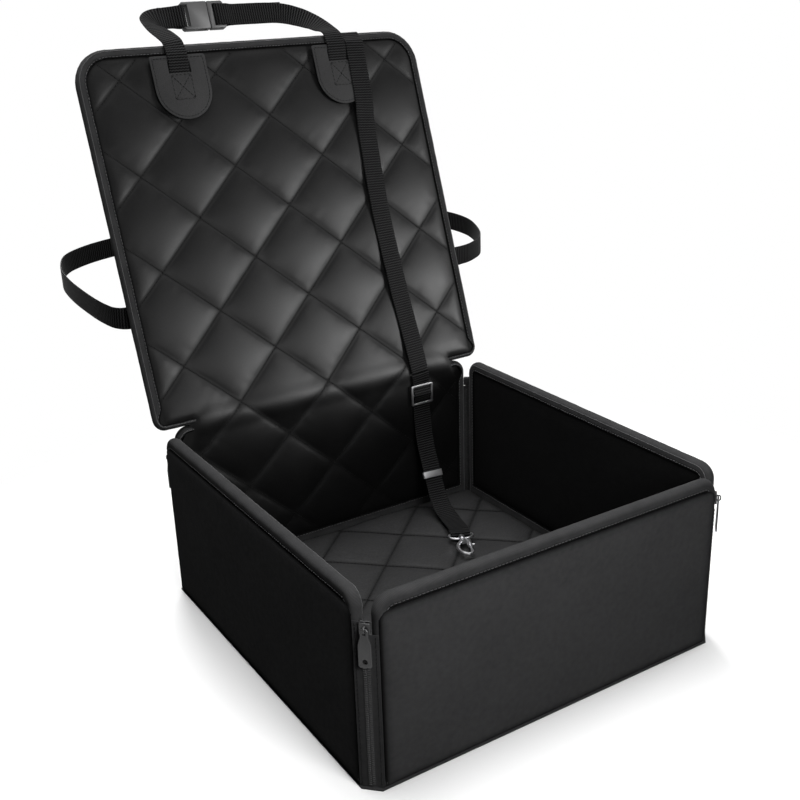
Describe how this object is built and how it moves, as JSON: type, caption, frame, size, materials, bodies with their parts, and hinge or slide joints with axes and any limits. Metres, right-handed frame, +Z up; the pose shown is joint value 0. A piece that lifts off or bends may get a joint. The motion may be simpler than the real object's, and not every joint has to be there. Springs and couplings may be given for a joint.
{
  "type": "dog car seat",
  "caption": "Folding fabric car seat for a small dog: a padded tray with zipped corners, a quilted backrest, a headrest strap, a seat belt and a tether with a snap hook.",
  "frame": {"origin": "centre of the tray's underside, on the ground", "axes": "+Z up, -Y towards the open front, +Y towards the backrest, +X to the right seen from the front"},
  "size_m": [0.5924, 0.7914, 0.6772],
  "materials": {
    "canvas": "woven, black",
    "quilted_cloth": "quilted, slight sheen",
    "binding_tape": "ribbed tape",
    "stiffener_board": "matte",
    "webbing": "ribbed webbing",
    "leather_patch": "smooth",
    "zip_tape": "woven tape",
    "buckle_plastic": "satin",
    "dark_metal": "satin black",
    "bright_metal": "bright plated"
  },
  "bodies": {
    "tray": {"floor_base_cover": "canvas", "floor_stiffener_board": "stiffener_board", "floor_quilted_cushion": "quilted_cloth", "back_wall_outer_cover": "canvas", "back_wall_stiffener_board": "stiffener_board", "back_wall_quilted_pad": "quilted_cloth", "back_wall_edge_binding": "binding_tape", "tether_lower": "webbing", "tether_keeper": "bright_metal", "hook_swivel_eye": "bright_metal", "back_right_zip_end_tape": "zip_tape", "back_left_zip_end_tape": "zip_tape"},
    "front_wall": {"front_wall_outer_cover": "canvas", "front_wall_stiffener_board": "stiffener_board", "front_wall_inner_lining": "canvas", "front_wall_edge_binding": "binding_tape", "front_left_zip_end_tape": "zip_tape", "front_right_zip_end_tape": "zip_tape"},
    "left_wall": {"left_wall_outer_cover": "canvas", "left_wall_stiffener_board": "stiffener_board", "left_wall_inner_lining": "canvas", "left_wall_edge_binding": "binding_tape", "front_left_zip_side_tape": "zip_tape", "back_left_zip_side_tape": "zip_tape"},
    "right_wall": {"right_wall_outer_cover": "canvas", "right_wall_stiffener_board": "stiffener_board", "right_wall_inner_lining": "canvas", "right_wall_edge_binding": "binding_tape", "front_right_zip_side_tape": "zip_tape", "back_right_zip_side_tape": "zip_tape"},
    "backrest": {"backrest_outer_cover": "canvas", "backrest_stiffener_board": "stiffener_board", "backrest_quilted_pad": "quilted_cloth", "backrest_edge_binding": "binding_tape", "left_leather_patch": "leather_patch", "right_leather_patch": "leather_patch", "headrest_strap_left": "webbing", "headrest_strap_right": "webbing", "headrest_buckle_socket": "buckle_plastic", "seat_belt_left": "webbing", "seat_belt_right": "webbing", "seat_belt_buckle_socket": "buckle_plastic", "tether_upper": "webbing"},
    "front_left_slider": {"front_left_zip_slider": "dark_metal"},
    "front_left_pull": {"front_left_zip_pull_tab": "dark_metal"},
    "front_right_slider": {"front_right_zip_slider": "dark_metal"},
    "front_right_pull": {"front_right_zip_pull_tab": "dark_metal"},
    "back_right_slider": {"back_right_zip_slider": "dark_metal"},
    "back_right_pull": {"back_right_zip_pull_tab": "dark_metal"},
    "back_left_slider": {"back_left_zip_slider": "dark_metal"},
    "back_left_pull": {"back_left_zip_pull_tab": "dark_metal"},
    "headrest_plug": {"headrest_buckle_plug": "buckle_plastic"},
    "seat_belt_plug": {"seat_belt_buckle_plug": "buckle_plastic"},
    "adjuster": {"tether_adjuster": "dark_metal"},
    "snap_hook": {"hook_body": "bright_metal"},
    "hook_bolt": {"hook_bolt": "bright_metal"}
  },
  "joints": [
    {"name": "front_wall_fold", "type": "hinge", "parent": "tray", "child": "front_wall", "pos_m": [0, -0.2325, 0.0018], "axis": [1, 0, 0], "range_deg": [0, 90]},
    {"name": "left_wall_fold", "type": "hinge", "parent": "tray", "child": "left_wall", "pos_m": [-0.225, 0, 0.0018], "axis": [0, -1, 0], "range_deg": [0, 90]},
    {"name": "right_wall_fold", "type": "hinge", "parent": "tray", "child": "right_wall", "pos_m": [0.225, 0, 0.0018], "axis": [0, 1, 0], "range_deg": [0, 90]},
    {"name": "backrest_fold", "type": "hinge", "parent": "tray", "child": "backrest", "pos_m": [0, 0.2195, 0.211], "axis": [1, 0, 0], "range_deg": [0, 107], "deforming": ["tether_upper"]},
    {"name": "front_left_zip_slide", "type": "slide", "parent": "left_wall", "child": "front_left_slider", "axis": [0, 0, -1], "range_m": [0, 0.1327]},
    {"name": "front_left_pull_swing", "type": "hinge", "parent": "front_left_slider", "child": "front_left_pull", "pos_m": [-0.21914, -0.22664, 0.174], "axis": [-0.7071, 0.7071, 0], "range_deg": [0, 150]},
    {"name": "front_right_zip_slide", "type": "slide", "parent": "right_wall", "child": "front_right_slider", "axis": [0, 0, -1], "range_m": [0, 0.1327]},
    {"name": "front_right_pull_swing", "type": "hinge", "parent": "front_right_slider", "child": "front_right_pull", "pos_m": [0.21914, -0.22664, 0.174], "axis": [-0.7071, -0.7071, 0], "range_deg": [0, 150]},
    {"name": "back_right_zip_slide", "type": "slide", "parent": "right_wall", "child": "back_right_slider", "axis": [0, 0, -1], "range_m": [0, 0.1327]},
    {"name": "back_right_pull_swing", "type": "hinge", "parent": "back_right_slider", "child": "back_right_pull", "pos_m": [0.21914, 0.22664, 0.174], "axis": [0.7071, -0.7071, 0], "range_deg": [0, 150]},
    {"name": "back_left_zip_slide", "type": "slide", "parent": "left_wall", "child": "back_left_slider", "axis": [0, 0, -1], "range_m": [0, 0.1327]},
    {"name": "back_left_pull_swing", "type": "hinge", "parent": "back_left_slider", "child": "back_left_pull", "pos_m": [-0.21914, 0.22664, 0.174], "axis": [0.7071, 0.7071, 0], "range_deg": [0, 150]},
    {"name": "headrest_buckle_release", "type": "slide", "parent": "backrest", "child": "headrest_plug", "axis": [1, 0, 0], "range_m": [0, 0.026], "deforming": ["headrest_strap_right"]},
    {"name": "seat_belt_buckle_release", "type": "slide", "parent": "backrest", "child": "seat_belt_plug", "axis": [1, 0, 0], "range_m": [0, 0.026], "deforming": ["seat_belt_right"]},
    {"name": "tether_adjuster_slide", "type": "slide", "parent": "tray", "child": "adjuster", "axis": [0, 0, -1], "range_m": [0, 0.07], "deforming": ["tether_lower"]},
    {"name": "hook_swivel", "type": "hinge", "parent": "tray", "child": "snap_hook", "pos_m": [0.112, 0.097, 0.0232], "axis": [-0.4195, -0.9078, 0], "range_deg": [-20, 38]},
    {"name": "hook_bolt_slide", "type": "slide", "parent": "snap_hook", "child": "hook_bolt", "axis": [0.4195, 0.9078, 0], "range_m": [0, 0.008], "stiffness_N_per_m": 120, "springref_m": -0.006}
  ]
}
